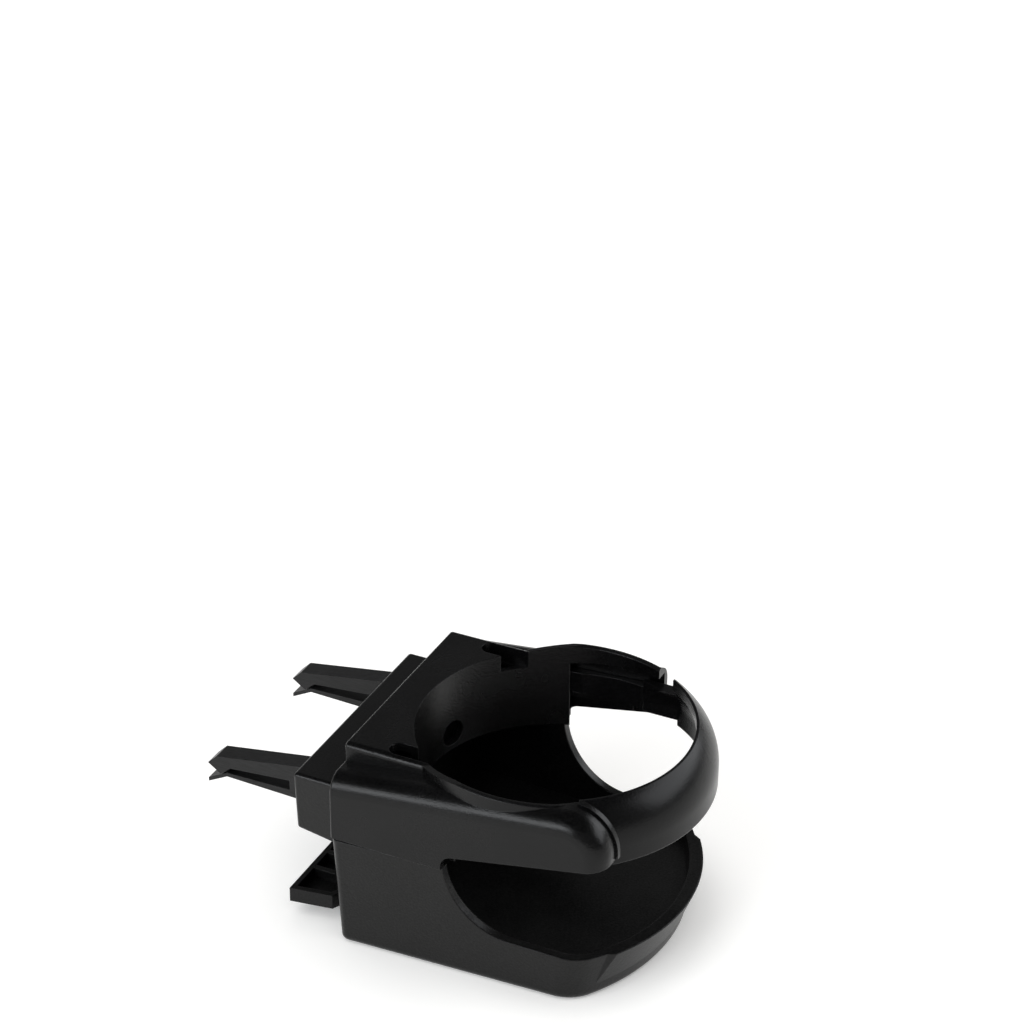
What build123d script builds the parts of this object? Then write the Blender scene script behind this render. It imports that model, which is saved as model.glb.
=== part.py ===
from build123d import *
import math
import os

# A cup holder that clips to a car's air vent. Millimetres; X across, Y towards the vent, Z up.
# Each piece is drawn about the cup axis, standing on the tray's base, and at the end the whole is moved
# along Y so that the origin lies under the middle of its length.

# Body
body_width = 77.0          # over the flat outer faces of the arms
rear_reach = 44.2          # cup axis to the frame's rear face
seam_height = 32.5         # base to the frame's lower edge
seam_gap = 0.5             # dark joint between tray and frame
wall = 2.0                 # side and rear skins of the frame
skin = 2.4                 # top skin of the frame

# Frame
shoulder_height = 50.4     # base to the shoulder at the rear face
arm_rise = 6.5             # degrees, the arms climb towards the front
arm_reach = 30.2           # cup axis to the front of the near arm
arm_tip_height = 45.0      # base to the lower front corner of the near arm
arm_slope = 11.1           # degrees, lower edge of the arms
nose_radius = 11.0         # side view of the near arm's end
nose_wall = 1.3
edge_radius = 5.0          # outer top edge of the arms
rear_edge = 0.8            # small radius round the rear face
window_rear = 13.3         # cup axis to the rear end of the side window
window_radius = 3.6        # upper rear corner of the side window
panel_height = 55.6        # base to the raised centre panel
panel_width = 59.6
lip_height = 57.4          # base to the top of the raised lip
lip_width = 1.6
lip_proud = 0.6            # the lip stands out by this where it turns down the arm's end
lip_edge = 0.4             # chamfer on its top edges
lip_start = 9.0            # behind this distance from the cup axis the lip falls to the panel
lip_fall = 9.3             # degrees
slot_width = 5.0           # slots in the panel, open towards the cup
slot_rear = 33.3           # cup axis to the rear end of the slots
slot_offset = 26.0         # slot centre line from the middle plane
panel_edge = 1.6           # rounded upper edge along the panel's sides

# Hoop
arm_side = 3.5             # outer face of the arms to the upper inner edge of the hoop
hoop_depth = 6.0           # upper inner edge to lower outer edge of the hoop
hoop_height = 57.8         # base to its top edge
hoop_base = 41.3           # base to its lower edge
hoop_bend = 46.5           # height at which its outer side starts to curve in
hoop_wall = 2.6
hoop_edge = 0.7
hoop_land = 0.65           # width of its flat top edge
exit_reach = 29.5          # cup axis to the parting line between hoop and near arm
hoop_travel = 5.0
run_gap = 0.3              # clearance of the sliding pieces
cheek_base = 45.2          # part of the hoop that stays inside the arms
cheek_top = 51.0
rail_base = 43.3
rail_top = 48.0
rail_thickness = 2.2
rail_length = 30.0         # cup axis to the rear end of the rails
rail_lap = 20.0            # cup axis to the front end of the rails
ledge_thickness = 1.6      # guide ledges under the rails
ledge_front = 6.0

# Tray
tray_wall = 2.4
tray_draft = 1.0           # each side narrows by this from seam to base
rear_lean = 1.5            # the rear wall comes forward by this from seam to base
front_reach = 33.0         # cup axis to the front of the base
front_flare = 8.0          # the front leans out by this from base to seam
corner_reach = 20.5        # cup axis to the front corners
corner_flare = 3.0         # the corners move out by this from base to seam
corner_inset = 3.0         # the sides close in by this at the front corners
corner_radius = 11.0
back_radius = 2.0
base_radius = 2.2
floor_height = 9.6         # base to the floor that the cup stands on
floor_wall = 2.2
foot_ring = 6.0            # width of the rim that the tray stands on
rim_height = 13.2          # base to the front rim
rim_corner = 29.0          # cup axis to the end of the front rim
window_centre = 5.0        # side window: an ellipse, centre in front of the cup axis
window_level = 34.5        # and its height
window_length = 18.6       # half axes
window_depth = 20.3
apron_width = 63.7         # front of the tray, standing out towards the rim; width at the front corners
apron_splay = 30.0         # degrees, its ends close in towards the front
apron_proud = 1.2
apron_sink = 0.3           # at its foot it dips below the surface, so it grows out of the wall
tongue_fit = 0.1           # snap tongues into the frame
tongue_width = 12.0
tongue_rise = 4.5
tongue_wall = 1.5
tongue_place = 26.0        # cup axis to the middle of the side tongues

# Vent bracket
bracket_width = 63.6
bracket_depth = 14.0
bracket_top = 43.5
bracket_base = 24.8
bracket_rise = 2.2         # its underside climbs by this towards the vent
bracket_lean = 0.7         # its rear face leans back by this from base to top
bracket_wall = 2.0
bracket_edge = 1.0
screw_spacing = 20.0
screw_level = 37.5
screw_radius = 1.5
screw_length = 9.0
head_radius = 2.9
head_height = 2.0
cross_width = 0.9
boss_radius = 3.2

# Vent clips
clip_spacing = 44.4
clip_width = 5.5
clip_length = 29.2         # bracket's rear face to the nose
clip_top = 41.2
clip_drop = 4.8            # the upper jaw falls by this from the root to the nose
jaw_root = 5.8             # thickness of the upper jaw at its root
jaw_nose = 2.6
tooth_drop = 2.6
leaf_base = 30.3           # underside of the lower jaw
leaf_wall = 1.1
leaf_lift = 0.7
leaf_flare = 3.0           # the tip of the lower jaw turns down by this
mouth_length = 5.6         # nose to the bend of the lower jaw
neck_length = 5.0          # bracket's rear face to the slit between the jaws
root_width = 9.4           # block trapped in the bracket
root_fit = 0.15

# Support foot
foot_width = 65.8          # at its rear edge
foot_taper = 1.8           # each end closes in by this towards the tray
foot_depth = 11.5
foot_rear = 59.7           # cup axis to its rear edge with the foot drawn in
foot_base = 3.9
foot_height = 4.1
foot_wall = 1.4
foot_floor = 1.2
neck_width = 44.0          # where the chamfered corners meet the stem
neck_depth = 4.6
rib_pitch = 7.3
stem_width = 28.0
stem_reach = 40.0          # length of the stem in front of the bar
stem_height = 2.8
guide_wall = 1.8           # rails under the tray's floor that carry the stem
guide_lip = 1.6
guide_length = 27.0

half = body_width / 2
cup_radius = half - arm_side
hoop_outer = cup_radius + hoop_depth
inside = half - wall
rear_inside = rear_reach - wall
opening_radius = cup_radius + 2 * run_gap
rail_outer = inside - run_gap
ring_end = math.sqrt(hoop_outer ** 2 - rail_outer ** 2)
far_reach = ring_end - hoop_travel - run_gap
tray_top = seam_height - seam_gap
bracket_rear = rear_reach + bracket_depth
foot_front = foot_rear - foot_depth
middle = (bracket_rear + clip_length - hoop_outer) / 2
far = 2 * body_width


def slab(x0, x1, y0, y1, z0, z1):
    """Box between two corners."""
    return Pos((x0 + x1) / 2, (y0 + y1) / 2, (z0 + z1) / 2) * Box(x1 - x0, y1 - y0, z1 - z0)


def side_face(*points):
    """Closed face in side view from (Y, Z) points."""
    return make_face(Polyline(*points, close=True))


def across(face, x0, x1):
    """Solid between two X positions with the given side view."""
    return Pos(x0, 0, 0) * extrude(Plane.YZ * face, amount=x1 - x0)


def round_corner(face, point, radius):
    """Round the corner of a flat face that lies nearest to a point."""
    return fillet(face.vertices().sort_by_distance(point)[0], radius)


def both_sides(solid):
    """A solid together with its mirror image in the middle plane."""
    return solid + mirror(solid, about=Plane.YZ)


def cylinder_z(radius, x, y, z0, z1):
    """Upright cylinder between two heights."""
    return Pos(x, y, (z0 + z1) / 2) * Cylinder(radius, z1 - z0)


def shoulder_at(y):
    """Height of the climbing shoulder at a distance from the cup axis."""
    return shoulder_height + (rear_reach - y) * math.tan(math.radians(arm_rise))


def underside_at(y):
    """Height of an arm's sloping lower edge at a distance from the cup axis."""
    return arm_tip_height - (arm_reach + y) * math.tan(math.radians(arm_slope))


def arm_view(grow):
    """Side view of rear block and arm: climbing top, rounded nose, sloping underside, window corner."""
    front = -arm_reach - grow
    corner = (window_rear, underside_at(window_rear))
    peak = (front, shoulder_at(front) + grow)
    face = side_face((rear_reach, seam_height), (rear_reach, shoulder_height + grow), peak,
                     (front, arm_tip_height), corner, (window_rear, seam_height))
    face = round_corner(face, peak, nose_radius + grow)
    return round_corner(face, corner, window_radius)


def frame_hollow():
    """Space inside the arms, the rear block and the centre panel, open below and towards the cup."""
    front = -arm_reach + nose_wall
    peak = (front, shoulder_at(front) - skin)
    view = side_face((rear_inside, 0), (rear_inside, shoulder_at(rear_inside) - skin), peak, (front, 0))
    view = round_corner(view, peak, nose_radius - 2 * nose_wall)
    under_panel = panel_width / 2 - wall
    hollow = across(view, -inside, inside)
    return hollow + slab(-under_panel, under_panel, opening_radius / 2, rear_inside, 0, panel_height - skin)


def lip():
    """Raised lip round the opening; behind the cup it falls into the panel, at the near arm it turns down."""
    section = Pos(opening_radius + lip_width / 2, lip_height - skin) * Rectangle(lip_width, 2 * skin)
    section = chamfer(section.vertices().group_by(Axis.Y)[-1], lip_edge)
    ring = revolve(Plane.XZ * section, Axis.Z)
    drop = (far - lip_start) * math.tan(math.radians(lip_fall))
    ring -= across(side_face((lip_start, lip_height), (far, lip_height - drop), (far, far)), -far, far)
    turned_down = across(arm_view(lip_proud), -exit_reach - lip_width, -exit_reach)
    turn = math.sqrt(opening_radius ** 2 - exit_reach ** 2)
    return ring + (turned_down & slab(-half, 0, -far, -turn, 0, far))


def frame_form():
    """Outer form of the frame before it is hollowed: block and arms with rounded edges, raised panel, lip."""
    block = across(arm_view(0), -half, half)
    sides = block.faces().filter_by(Axis.X)
    block = fillet(sides.edges().filter_by(lambda e: e.center().Z > shoulder_height), edge_radius)
    front = math.sqrt(opening_radius ** 2 - panel_width ** 2 / 4) - lip_width
    panel = slab(-panel_width / 2, panel_width / 2, front, rear_reach, shoulder_height - skin, panel_height)
    panel = fillet(panel.edges().filter_by(Axis.Y).group_by(Axis.Z)[-1], panel_edge)
    form = block + panel
    rear = form.faces().sort_by(Axis.Y)[-1]
    form = fillet(rear.edges().filter_by(lambda e: e.center().Z > seam_height + seam_gap), rear_edge)
    return form + lip()


def frame():
    """Upper housing: one moulding with a long near arm, a short far arm and guides for the hoop."""
    ledge = slab(-inside, -inside + rail_thickness, -ledge_front, rear_inside,
                 rail_base - run_gap - ledge_thickness, rail_base - run_gap)
    body = frame_form() - frame_hollow() + both_sides(ledge)
    skirt_half = rail_outer - rail_thickness - run_gap
    skirt = cylinder_z(opening_radius + lip_width, 0, 0, seam_height, panel_height - skin)
    body += skirt & slab(-skirt_half, skirt_half, 0, far, 0, far)
    body -= cylinder_z(opening_radius, 0, 0, 0, far)
    body -= slab(-exit_reach, far, -far, -far_reach, 0, far)
    slot = slab(-slot_width / 2, slot_width / 2, 0, slot_rear - slot_width / 2, panel_height - 2 * skin, far)
    slot += cylinder_z(slot_width / 2, 0, slot_rear - slot_width / 2, panel_height - 2 * skin, far)
    for side in (-1, 1):
        body -= Pos(side * slot_offset, 0, 0) * slot
        body -= screw_place(side) * Cylinder(screw_radius + run_gap, 2 * wall + run_gap)
        reach = Pos(0, 0, -wall - bracket_depth / 2) * Cylinder(head_radius + 2 * run_gap, bracket_depth)
        body -= screw_place(side) * reach
    return body


def hoop_section():
    """Section of the front band: upright below, curving in to a thin top edge."""
    run = hoop_outer - cup_radius - hoop_land
    climb = hoop_height - hoop_bend
    radius = (run ** 2 + climb ** 2) / (2 * run)
    centre = hoop_outer - radius
    inner = radius - hoop_wall
    reach = math.acos((cup_radius - centre) / inner)
    turn = math.atan2(climb, radius - run)

    def on_arc(size, angle):
        return (centre + size * math.cos(angle), hoop_bend + size * math.sin(angle))

    outline = Polyline(on_arc(inner, reach), (cup_radius, hoop_height), on_arc(radius, turn))
    outline += ThreePointArc(on_arc(radius, turn), on_arc(radius, turn / 2), on_arc(radius, 0))
    outline += Polyline(on_arc(radius, 0), (hoop_outer, hoop_base),
                        (hoop_outer - hoop_wall, hoop_base), on_arc(inner, 0))
    outline += ThreePointArc(on_arc(inner, 0), on_arc(inner, reach / 2), on_arc(inner, reach))
    section = make_face(outline)
    return fillet(section.vertices().group_by(Axis.Y)[0], hoop_edge)


def hoop():
    """Sliding front band: a cheek inside the near arm, a neck into the far arm, a straight rail in each."""
    ring = revolve(Plane.XZ * hoop_section(), Axis.Z)
    band = ring & slab(run_gap - exit_reach, far, -far, -ring_end, 0, far)
    cheek = ring & slab(-rail_outer, 0, -far, 0, cheek_base, cheek_top)
    neck = extrude(section(ring, Plane.XZ.offset(ring_end)), amount=-2 * hoop_travel)
    neck &= slab(0, far, -far, 0, rail_base, lip_height - 2 * skin - run_gap)
    view = side_face((-rail_lap, rail_base), (rail_length, rail_base), (rail_length, rail_top),
                     (-rail_lap, cheek_top))
    rail = across(view, -rail_outer, -rail_outer + rail_thickness)
    rail &= cylinder_z(hoop_outer, 0, 0, 0, far) + slab(-far, far, 0, far, 0, far)
    runners = neck + both_sides(rail) - cylinder_z(cup_radius, 0, 0, 0, far)
    return band + cheek + runners


def tray_plan(height, proud):
    """Plan of the tray at a height: flat back, nearly straight sides, bowed front."""
    level = height / seam_height
    side = half - tray_draft * (1 - level)
    back = rear_reach - rear_lean * (1 - level)
    corner_x = side - corner_inset
    corner_y = -corner_reach - corner_flare * level - proud
    front = -front_reach - front_flare * level - proud
    outline = Polyline((-corner_x, corner_y), (-side, back), (side, back), (corner_x, corner_y))
    outline += ThreePointArc((corner_x, corner_y), (0, front), (-corner_x, corner_y))
    plan = make_face(outline)
    plan = fillet(plan.vertices().group_by(Axis.Y)[-1], back_radius)
    corners = [v for v in plan.vertices() if v.Y < 0]
    return fillet(corners, corner_radius)


def tray_slice(height, inset, proud):
    """Plan of the tray, drawn in by a wall and set at its height."""
    plan = tray_plan(height, proud)
    if inset > 0:
        plan = offset(plan, -inset)
    return Pos(0, 0, height) * plan


def apron_bounds():
    """Wedge in plan that bounds the apron, its ends slanting towards the front."""
    depth = front_reach
    narrow = apron_width / 2 - depth * math.tan(math.radians(apron_splay))
    plan = make_face(Polyline((-apron_width / 2, -corner_reach), (apron_width / 2, -corner_reach),
                              (narrow, -corner_reach - depth), (-narrow, -corner_reach - depth), close=True))
    return extrude(plan, amount=far)


def tray():
    """Lower cup: tapering shell with side windows, a low front and guides for the foot under its floor."""
    body = loft([tray_slice(0, 0, 0), tray_slice(tray_top, 0, 0)])
    body = fillet(body.faces().sort_by(Axis.Z)[0].edges(), base_radius)
    apron = loft([tray_slice(base_radius, 0, -apron_sink), tray_slice(rim_height, 0, apron_proud)])
    body += apron & apron_bounds()
    body -= loft([tray_slice(floor_height, tray_wall, 0), tray_slice(seam_height, tray_wall, 0)])
    under = floor_height - floor_wall
    body -= extrude(offset(tray_plan(0, 0), -foot_ring), amount=under)
    window = Pos(-window_centre, window_level) * Ellipse(window_length, window_depth)
    window += side_face((-window_centre, window_level - window_depth), (-rim_corner, rim_height),
                        (-far, rim_height), (-far, far), (-window_centre, far))
    body -= across(window, -far, far)
    stem_half = stem_width / 2 + run_gap
    lip_top = foot_base - run_gap
    body -= slab(-stem_half, stem_half, 0, far, lip_top, foot_base + stem_height + run_gap)
    ring_rear = rear_reach - rear_lean - foot_ring
    guide = slab(-stem_half - guide_wall, -stem_half, ring_rear - guide_length, ring_rear,
                 lip_top - guide_lip, under)
    guide += slab(-stem_half - guide_wall, -stem_half + 2 * guide_wall, ring_rear - guide_length, ring_rear,
                  lip_top - guide_lip, lip_top)
    body += both_sides(guide)
    tongue_outer = -inside + tongue_fit
    side_tongue = slab(tongue_outer, tongue_outer + tongue_wall,
                       tongue_place - tongue_width / 2, tongue_place + tongue_width / 2,
                       seam_height - 2 * tongue_rise, seam_height + tongue_rise)
    rear_tongue = slab(-tongue_width / 2, tongue_width / 2, rear_inside - tongue_fit - tongue_wall,
                       rear_inside - tongue_fit, seam_height - tongue_rise, seam_height + tongue_rise)
    return body + both_sides(side_tongue) + rear_tongue


def screw_place(side):
    """Place of a bracket screw on the frame's rear wall, its axis towards the vent."""
    return Pos(side * screw_spacing / 2, rear_reach, screw_level) * Rot(-90, 0, 0)


def bracket_screw(side):
    """Pan-head screw with a cross recess; its head lies on the inner side of the frame's rear wall."""
    head = Pos(0, 0, -wall - head_height / 2) * Cylinder(head_radius, head_height)
    head = fillet(head.edges().sort_by(Axis.Z)[0], head_height / 2)
    for turn in (0, 90):
        head -= Pos(0, 0, -wall - head_height) * Rot(0, 0, turn) * Box(head_radius, cross_width, head_height)
    shank = Pos(0, 0, screw_length / 2 - wall) * Cylinder(screw_radius, screw_length)
    shank = chamfer(shank.edges().sort_by(Axis.Z)[-1], screw_radius / 2)
    return screw_place(side) * (head + shank)


def vent_bracket():
    """Open-fronted box behind the frame with two screw bosses and two windows for the clips."""
    view = side_face((rear_reach, bracket_base), (rear_reach, bracket_top), (bracket_rear, bracket_top),
                     (bracket_rear - bracket_lean, bracket_base + bracket_rise))
    box = across(view, -bracket_width / 2, bracket_width / 2)
    box = fillet(box.edges().filter_by(lambda e: e.center().Y > rear_reach + bracket_edge), bracket_edge)
    inner = offset(view, -bracket_wall)
    core = across(inner, bracket_wall - bracket_width / 2, bracket_width / 2 - bracket_wall)
    box -= core + Pos(0, -2 * bracket_wall, 0) * core
    for side in (-1, 1):
        depth = bracket_depth - bracket_wall / 2
        boss = screw_place(side) * Pos(0, 0, depth / 2) * Cylinder(boss_radius, depth)
        box += boss - screw_place(side) * Cylinder(screw_radius, 2 * (screw_length - wall))
        place = side * clip_spacing / 2
        opening = clip_width / 2 + root_fit
        box -= slab(place - opening, place + opening, bracket_rear - 2 * bracket_wall, far,
                    leaf_base - root_fit, bracket_top - bracket_wall)
    return box


def vent_clip(side):
    """Two-jawed clip for a vent slat: stiff upper jaw with a tooth, thin springy lower jaw, trapped root."""
    nose = bracket_rear + clip_length
    neck = bracket_rear + neck_length
    bend = nose - mouth_length
    jaw_base = clip_top - jaw_root
    nose_top = clip_top - clip_drop
    tooth = nose_top - jaw_nose - tooth_drop
    upper = side_face((bracket_rear - bracket_wall, clip_top), (nose - jaw_nose, nose_top),
                      (nose, nose_top - jaw_nose), (nose - jaw_nose - leaf_wall, tooth),
                      (bend - leaf_wall, nose_top - jaw_nose), (neck, jaw_base),
                      (bracket_rear - bracket_wall, jaw_base))
    lower = side_face((bracket_rear - bracket_wall, leaf_base), (bend, leaf_base + leaf_lift),
                      (nose, leaf_base + leaf_lift - leaf_flare),
                      (nose, leaf_base + leaf_lift - leaf_flare + leaf_wall),
                      (bend, leaf_base + leaf_lift + leaf_wall), (neck, leaf_base + 2 * leaf_wall),
                      (neck, jaw_base), (bracket_rear - bracket_wall, jaw_base))
    blade = across(upper + lower, -clip_width / 2, clip_width / 2)
    root = slab(-root_width / 2, root_width / 2, rear_reach + root_fit,
                bracket_rear - bracket_lean - bracket_wall - root_fit,
                leaf_base - root_fit, bracket_top - bracket_wall - root_fit)
    blade += slab(-clip_width / 2, clip_width / 2, rear_reach + root_fit, bracket_rear, leaf_base, clip_top)
    return Pos(side * clip_spacing / 2, 0, 0) * (blade + root)


def support_foot():
    """T-shaped foot: ribbed bar that rests against the dashboard and a flat stem sliding under the tray."""
    bar_front = foot_width / 2 - foot_taper
    neck = foot_front - neck_depth
    plan = make_face(Polyline((foot_width / 2, foot_rear), (bar_front, foot_front), (neck_width / 2, neck),
                              (-neck_width / 2, neck), (-bar_front, foot_front), (-foot_width / 2, foot_rear),
                              close=True))
    bar = Pos(0, 0, foot_base) * extrude(plan, amount=foot_height)
    pocket = Pos(0, 0, foot_base + foot_floor) * extrude(offset(plan, -foot_wall), amount=foot_height)
    side_ribs = int(bar_front // rib_pitch) - 1
    for step in range(-side_ribs, side_ribs + 1):
        pocket -= slab(step * rib_pitch - foot_wall / 2, step * rib_pitch + foot_wall / 2, 0, far, 0, far)
    bar -= pocket
    stem = slab(-stem_width / 2, stem_width / 2, foot_front - stem_reach, neck + foot_wall,
                foot_base, foot_base + stem_height)
    return bar + stem


os.makedirs("parts", exist_ok=True)
pieces = {
    "frame": frame(),
    "hoop": hoop(),
    "tray": tray(),
    "vent_bracket": vent_bracket(),
    "left_vent_clip": vent_clip(-1),
    "right_vent_clip": vent_clip(1),
    "support_foot": support_foot(),
    "left_bracket_screw": bracket_screw(-1),
    "right_bracket_screw": bracket_screw(1),
}
for name, solid in pieces.items():
    export_step(Pos(0, -middle, 0) * solid, f"parts/{name}.step")
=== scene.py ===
import bpy
import numpy as np
from mathutils import Matrix, Vector

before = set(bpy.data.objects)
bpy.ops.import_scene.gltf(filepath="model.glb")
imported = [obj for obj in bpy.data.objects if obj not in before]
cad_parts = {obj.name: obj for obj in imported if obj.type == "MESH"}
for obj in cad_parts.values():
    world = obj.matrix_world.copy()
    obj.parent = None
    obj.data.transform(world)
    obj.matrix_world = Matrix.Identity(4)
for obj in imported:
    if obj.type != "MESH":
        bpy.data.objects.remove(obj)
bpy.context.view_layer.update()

# Frame: the upper housing with the raised panel, the two arms and the lip round the cup's opening.
# One injection moulding in black ABS. The mould is spark-eroded, which leaves a fine even grain, and the
# edges are rubbed a little smoother by handling; their paler colour is partly that rubbing and partly a
# painted highlight.
frame_black = (0.0027, 0.0027, 0.0028)
frame_shine = 0.23         # strength of the reflection
frame_gloss = 0.26         # roughness
frame_grain = 0.00050      # width of one grain, metres
frame_depth = 0.000070     # height of the grain
frame_edge = 0.00030       # rounding of the moulded edges


def moulded_plastic(name, colour, shine, gloss, grain, depth, edge, stretch=(1.0, 1.0, 1.0)):
    """Black moulding: fine grain as bump on softened edges, slow drift of tone and gloss, rubbed edges
    painted paler.

    The edges get smoother by wear, and paler by wear and by a painted highlight; both grow as the normal
    averaged over the edge radius turns away from the true normal. Inside corners, where the nearby surface
    hides part of the sky, keep the true normal and get neither.
    """
    drift_scale = 55.0                   # patches of tone and gloss, per metre
    drift_low, drift_high = 0.3, 0.7     # usual range of that noise
    grain_strength = 0.8
    edge_samples = 6
    sky_reach = 4.0 * edge               # how far an inside corner looks for its neighbour
    sky_hidden, sky_open = 0.75, 0.95    # share of the sky seen at an inside corner and in the open
    wear_and_highlight_starts, wear_and_highlight_full = 0.99, 0.85  # cosine between the two normals
    wear_and_highlight_most = 0.6
    grain_share = 0.7                    # the grain's part in the tone, beside the slow drift
    tone_low, tone_high = 0.35, 0.65     # range of grain and drift together
    # The last factor is the paler colour of the edges: partly rubbing, partly a painted highlight.
    dark_grain, pale_grain, rubbed_and_highlit_tone = 0.2, 1.8, 2.0  # times the colour
    gloss_drift = 0.03
    rubbed_gloss = -0.12                 # a rubbed edge is less rough

    def shade(times):
        """The plastic's colour, lighter or darker."""
        return (*(times * np.array(colour)), 1.0)

    material = bpy.data.materials.new(name)
    material.use_nodes = True
    nodes, links = material.node_tree.nodes, material.node_tree.links
    shader = nodes["Principled BSDF"]
    shader.inputs["IOR"].default_value = 1.5
    shader.inputs["Specular IOR Level"].default_value = shine

    place = nodes.new("ShaderNodeTexCoord")
    lay = nodes.new("ShaderNodeMapping")
    lay.inputs["Scale"].default_value = stretch
    links.new(place.outputs["Object"], lay.inputs["Vector"])

    sparks = nodes.new("ShaderNodeTexNoise")
    sparks.inputs["Scale"].default_value = 1.0 / grain
    sparks.inputs["Detail"].default_value = 2.0
    sparks.inputs["Roughness"].default_value = 0.6
    drift = nodes.new("ShaderNodeTexNoise")
    drift.inputs["Scale"].default_value = drift_scale
    drift.inputs["Detail"].default_value = 3.0
    links.new(lay.outputs["Vector"], sparks.inputs["Vector"])
    links.new(place.outputs["Object"], drift.inputs["Vector"])

    soft = nodes.new("ShaderNodeBevel")
    soft.samples = edge_samples
    soft.inputs["Radius"].default_value = edge
    surface = nodes.new("ShaderNodeNewGeometry")
    sky = nodes.new("ShaderNodeAmbientOcclusion")
    sky.samples = edge_samples
    sky.only_local = True
    sky.inputs["Distance"].default_value = sky_reach
    outside = nodes.new("ShaderNodeMapRange")
    outside.inputs["From Min"].default_value = sky_hidden
    outside.inputs["From Max"].default_value = sky_open
    links.new(sky.outputs["AO"], outside.inputs["Value"])
    rounded = nodes.new("ShaderNodeMix")
    rounded.data_type = "VECTOR"
    links.new(outside.outputs["Result"], rounded.inputs["Factor"])
    links.new(surface.outputs["Normal"], rounded.inputs["A"])
    links.new(soft.outputs["Normal"], rounded.inputs["B"])
    relief = nodes.new("ShaderNodeBump")
    relief.inputs["Strength"].default_value = grain_strength
    relief.inputs["Distance"].default_value = depth
    links.new(sparks.outputs["Fac"], relief.inputs["Height"])
    links.new(rounded.outputs["Result"], relief.inputs["Normal"])
    links.new(relief.outputs["Normal"], shader.inputs["Normal"])

    turn = nodes.new("ShaderNodeVectorMath")
    turn.operation = "DOT_PRODUCT"
    links.new(rounded.outputs["Result"], turn.inputs[0])
    links.new(surface.outputs["Normal"], turn.inputs[1])
    # Mask of the rounded edges: smoother by wear, paler by wear and by a painted highlight.
    wear_and_highlight = nodes.new("ShaderNodeMapRange")
    wear_and_highlight.inputs["From Min"].default_value = wear_and_highlight_starts
    wear_and_highlight.inputs["From Max"].default_value = wear_and_highlight_full
    wear_and_highlight.inputs["To Max"].default_value = wear_and_highlight_most
    links.new(turn.outputs["Value"], wear_and_highlight.inputs["Value"])

    speckle = nodes.new("ShaderNodeMix")
    speckle.inputs["Factor"].default_value = grain_share
    links.new(drift.outputs["Fac"], speckle.inputs["A"])
    links.new(sparks.outputs["Fac"], speckle.inputs["B"])
    tone = nodes.new("ShaderNodeValToRGB")
    tone.color_ramp.elements[0].position = tone_low
    tone.color_ramp.elements[0].color = shade(dark_grain)
    tone.color_ramp.elements[1].position = tone_high
    tone.color_ramp.elements[1].color = shade(pale_grain)
    # Edges painted paler: partly rubbing, partly a painted highlight along the rounded edges.
    rubbed_and_highlit = nodes.new("ShaderNodeMix")
    rubbed_and_highlit.data_type = "RGBA"
    rubbed_and_highlit.inputs["B"].default_value = shade(rubbed_and_highlit_tone)
    links.new(speckle.outputs["Result"], tone.inputs["Fac"])
    links.new(wear_and_highlight.outputs["Result"], rubbed_and_highlit.inputs["Factor"])
    links.new(tone.outputs["Color"], rubbed_and_highlit.inputs["A"])
    links.new(rubbed_and_highlit.outputs["Result"], shader.inputs["Base Color"])

    sheen = nodes.new("ShaderNodeMapRange")
    sheen.inputs["From Min"].default_value = drift_low
    sheen.inputs["From Max"].default_value = drift_high
    sheen.inputs["To Min"].default_value = gloss - gloss_drift
    sheen.inputs["To Max"].default_value = gloss + gloss_drift
    smooth = nodes.new("ShaderNodeMath")
    smooth.operation = "MULTIPLY_ADD"
    smooth.inputs[1].default_value = rubbed_gloss
    links.new(drift.outputs["Fac"], sheen.inputs["Value"])
    links.new(wear_and_highlight.outputs["Result"], smooth.inputs[0])
    links.new(sheen.outputs["Result"], smooth.inputs[2])
    links.new(smooth.outputs["Value"], shader.inputs["Roughness"])
    return material


def dress(node, material):
    """Give a CAD piece its material."""
    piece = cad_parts[node]
    piece.data.materials.clear()
    piece.data.materials.append(material)


dress("frame", moulded_plastic("frame_abs", frame_black, frame_shine, frame_gloss, frame_grain, frame_depth,
                               frame_edge))

# Hoop: the front band that slides between the arms to suit the cup. The same plastic as the frame, with a
# finer grain, because the cup rubs along it.
hoop_black = (0.0027, 0.0027, 0.0029)
hoop_shine = 0.20
hoop_gloss = 0.25
hoop_grain = 0.00045
hoop_depth = 0.000050
hoop_edge = 0.00030
dress("hoop", moulded_plastic("hoop_abs", hoop_black, hoop_shine, hoop_gloss, hoop_grain, hoop_depth,
                              hoop_edge))

# Tray: the lower half that a cup stands in, snapped into the frame from below. Moulded in the same ABS
# with a slightly coarser grain and softer edges.
tray_black = (0.0034, 0.0034, 0.0034)
tray_shine = 0.25
tray_gloss = 0.31
tray_grain = 0.00056
tray_depth = 0.000085
tray_edge = 0.00070
dress("tray", moulded_plastic("tray_abs", tray_black, tray_shine, tray_gloss, tray_grain, tray_depth,
                              tray_edge))

# Vent bracket: the box that is screwed behind the frame and traps the roots of the two clips.
# Grained like the frame.
bracket_shine = 0.30
bracket_gloss = 0.30
bracket_edge = 0.00030
dress("vent_bracket", moulded_plastic("bracket_abs", frame_black, bracket_shine, bracket_gloss, frame_grain,
                                      frame_depth, bracket_edge))

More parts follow.
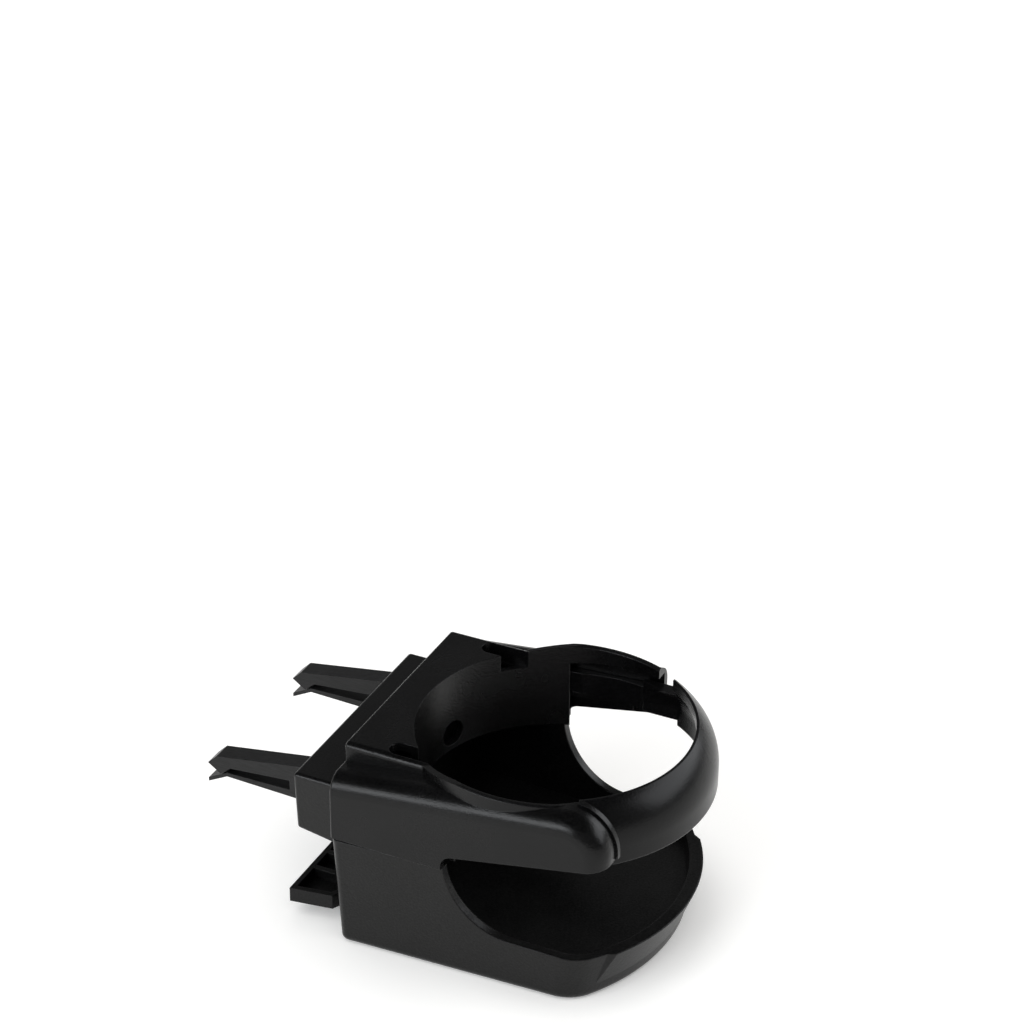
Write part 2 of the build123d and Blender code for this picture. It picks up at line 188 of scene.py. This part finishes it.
# Vent clips: two springy jaws in a tougher plastic, greyer and duller than the body, without its grain.
# The mould was polished along the blades, which leaves faint lines that run along them.
clip_black = (0.0070, 0.0070, 0.0072)
clip_shine = 0.26
clip_gloss = 0.36
clip_line = 0.00025
clip_depth = 0.000010
clip_edge = 0.00025
clip_stretch = (1.0, 0.06, 1.0)
clip_plastic = moulded_plastic("clip_plastic", clip_black, clip_shine, clip_gloss, clip_line, clip_depth,
                               clip_edge, clip_stretch)
dress("left_vent_clip", clip_plastic)
dress("right_vent_clip", clip_plastic)

# Support foot: the ribbed T-plate that slides out from under the tray and rests against the dashboard.
# The same ABS as the tray.
foot_gloss = 0.38
foot_edge = 0.00025
dress("support_foot", moulded_plastic("foot_abs", tray_black, tray_shine, foot_gloss, tray_grain, tray_depth,
                                      foot_edge))

# Bracket screws: two pan-head screws in zinc-plated steel, driven from the cup side through the frame's wall.
# The plating is bright and a little cloudy.
zinc_pale = (0.62, 0.62, 0.64, 1.0)
zinc_dull = (0.45, 0.45, 0.46, 1.0)
zinc_rough, zinc_bright = 0.42, 0.24     # roughness of the dull and the pale clouds
zinc_low, zinc_high = 0.35, 0.65         # range of the clouds
cloud_scale = 900.0                      # clouds per metre
zinc = bpy.data.materials.new("zinc_plate")
zinc.use_nodes = True
zinc_nodes, zinc_links = zinc.node_tree.nodes, zinc.node_tree.links
zinc_shader = zinc_nodes["Principled BSDF"]
zinc_shader.inputs["Metallic"].default_value = 1.0
zinc_place = zinc_nodes.new("ShaderNodeTexCoord")
zinc_cloud = zinc_nodes.new("ShaderNodeTexNoise")
zinc_cloud.inputs["Scale"].default_value = cloud_scale
zinc_cloud.inputs["Detail"].default_value = 3.0
zinc_tone = zinc_nodes.new("ShaderNodeValToRGB")
zinc_tone.color_ramp.elements[0].position = zinc_low
zinc_tone.color_ramp.elements[0].color = zinc_dull
zinc_tone.color_ramp.elements[1].position = zinc_high
zinc_tone.color_ramp.elements[1].color = zinc_pale
zinc_gloss = zinc_nodes.new("ShaderNodeMapRange")
zinc_gloss.inputs["To Min"].default_value = zinc_rough
zinc_gloss.inputs["To Max"].default_value = zinc_bright
zinc_links.new(zinc_place.outputs["Object"], zinc_cloud.inputs["Vector"])
zinc_links.new(zinc_cloud.outputs["Fac"], zinc_tone.inputs["Fac"])
zinc_links.new(zinc_tone.outputs["Color"], zinc_shader.inputs["Base Color"])
zinc_links.new(zinc_cloud.outputs["Fac"], zinc_gloss.inputs["Value"])
zinc_links.new(zinc_gloss.outputs["Result"], zinc_shader.inputs["Roughness"])
dress("left_bracket_screw", zinc)
dress("right_bracket_screw", zinc)

# Floor: a plain pale sheet that the tray stands on. It is white to the camera and in reflections,
# and keeps the shadow under the object.
floor_half = 4.0           # half its side, metres
floor_white = (0.91, 0.905, 0.89, 1.0)
floor_glow = 0.22          # brings the lit sheet up to white
floor_mesh = bpy.data.meshes.new("floor")
floor_mesh.from_pydata([(-floor_half, -floor_half, 0), (floor_half, -floor_half, 0),
                        (floor_half, floor_half, 0), (-floor_half, floor_half, 0)], [], [(0, 1, 2, 3)])
floor = bpy.data.objects.new("floor", floor_mesh)
bpy.context.collection.objects.link(floor)
paper = bpy.data.materials.new("paper")
paper.use_nodes = True
paper_nodes, paper_links = paper.node_tree.nodes, paper.node_tree.links
paper_shader = paper_nodes["Principled BSDF"]
paper_shader.inputs["Base Color"].default_value = floor_white
paper_shader.inputs["Roughness"].default_value = 0.9
paper_shader.inputs["Specular IOR Level"].default_value = 0.0
paper_shader.inputs["Emission Color"].default_value = (1.0, 1.0, 1.0, 1.0)
seen = paper_nodes.new("ShaderNodeLightPath")
mirrored = paper_nodes.new("ShaderNodeMath")
mirrored.operation = "MAXIMUM"
shown = paper_nodes.new("ShaderNodeMath")
shown.operation = "MAXIMUM"
glow = paper_nodes.new("ShaderNodeMath")
glow.operation = "MULTIPLY"
glow.inputs[1].default_value = floor_glow
paper_links.new(seen.outputs["Is Glossy Ray"], mirrored.inputs[0])
paper_links.new(seen.outputs["Is Transmission Ray"], mirrored.inputs[1])
paper_links.new(seen.outputs["Is Camera Ray"], shown.inputs[0])
paper_links.new(mirrored.outputs["Value"], shown.inputs[1])
paper_links.new(shown.outputs["Value"], glow.inputs[0])
paper_links.new(glow.outputs["Value"], paper_shader.inputs["Emission Strength"])
floor_mesh.materials.append(paper)

# Light: a dim room that darkens towards the ceiling, a wide soft box overhead that lights the floor, one soft
# box low on the left whose reflection runs along the rounded edges, and one on the right that only reflects.
room_wall = 0.23           # strength up to wall_top
room_ceiling = 0.02        # strength from ceiling_edge up
wall_top = 0.45            # sine of the angle above the floor
ceiling_edge = 0.80
light_aim = (0.0, 0.0, 0.04)
overhead_place = (0.0, 0.0, 3.5)
overhead_side = 8.0
overhead_level = 1.30      # radiance
overhead_colour = (1.0, 1.0, 1.0)
left_place = (-0.78, 0.36, 0.36)
left_width, left_height = 0.60, 0.34
left_level = 6.4
left_colour = (0.94, 0.97, 1.0)
right_place = (0.471, -0.648, 0.45)
right_width, right_height = 1.10, 0.52
right_level = 3.1
right_colour = (0.95, 0.97, 1.0)
world = bpy.data.worlds.new("studio")
bpy.context.scene.world = world
world.use_nodes = True
room_nodes, room_links = world.node_tree.nodes, world.node_tree.links
room_nodes["Background"].inputs["Color"].default_value = (1.0, 1.0, 1.0, 1.0)
look = room_nodes.new("ShaderNodeTexCoord")
rise = room_nodes.new("ShaderNodeSeparateXYZ")
dim = room_nodes.new("ShaderNodeMapRange")
dim.inputs["From Min"].default_value = wall_top
dim.inputs["From Max"].default_value = ceiling_edge
dim.inputs["To Min"].default_value = room_wall
dim.inputs["To Max"].default_value = room_ceiling
room_links.new(look.outputs["Generated"], rise.inputs["Vector"])
room_links.new(rise.outputs["Z"], dim.inputs["Value"])
room_links.new(dim.outputs["Result"], room_nodes["Background"].inputs["Strength"])


def soft_box(name, place, width, height, radiance, colour):
    """Rectangular area light facing the object; its power is radiance times pi times its area."""
    light = bpy.data.lights.new(name, "AREA")
    light.shape = "RECTANGLE"
    light.size = width
    light.size_y = height
    light.energy = radiance * np.pi * width * height
    light.color = colour
    lamp = bpy.data.objects.new(name, light)
    lamp.location = place
    lamp.rotation_mode = "QUATERNION"
    lamp.rotation_quaternion = (Vector(light_aim) - Vector(place)).to_track_quat("-Z", "Y")
    lamp.visible_camera = False
    bpy.context.collection.objects.link(lamp)
    return lamp


overhead = soft_box("overhead_box", overhead_place, overhead_side, overhead_side, overhead_level,
                    overhead_colour)
overhead.visible_glossy = False
soft_box("left_box", left_place, left_width, left_height, left_level, left_colour)
right_box = soft_box("right_box", right_place, right_width, right_height, right_level, right_colour)
right_box.visible_diffuse = False

# Camera: the photograph's place, direction and lens.
film_width = 36.0          # millimetres
lens_length = 101.59
eye_place = (-0.5490, -0.27197, 0.45905)
ahead = Vector((0.78532, 0.37403, -0.49333)).normalized()
upright = Vector((0.44253, 0.21813, 0.86982))
camera = bpy.data.cameras.new("camera")
camera.sensor_width = film_width
camera.lens = lens_length
eye = bpy.data.objects.new("camera", camera)
side = ahead.cross(upright).normalized()
upright = side.cross(ahead)
turned = Matrix((side, upright, -ahead)).transposed().to_4x4()
eye.matrix_world = Matrix.Translation(eye_place) @ turned
bpy.context.collection.objects.link(eye)
bpy.context.scene.camera = eye
bpy.context.scene.view_settings.view_transform = "Standard"
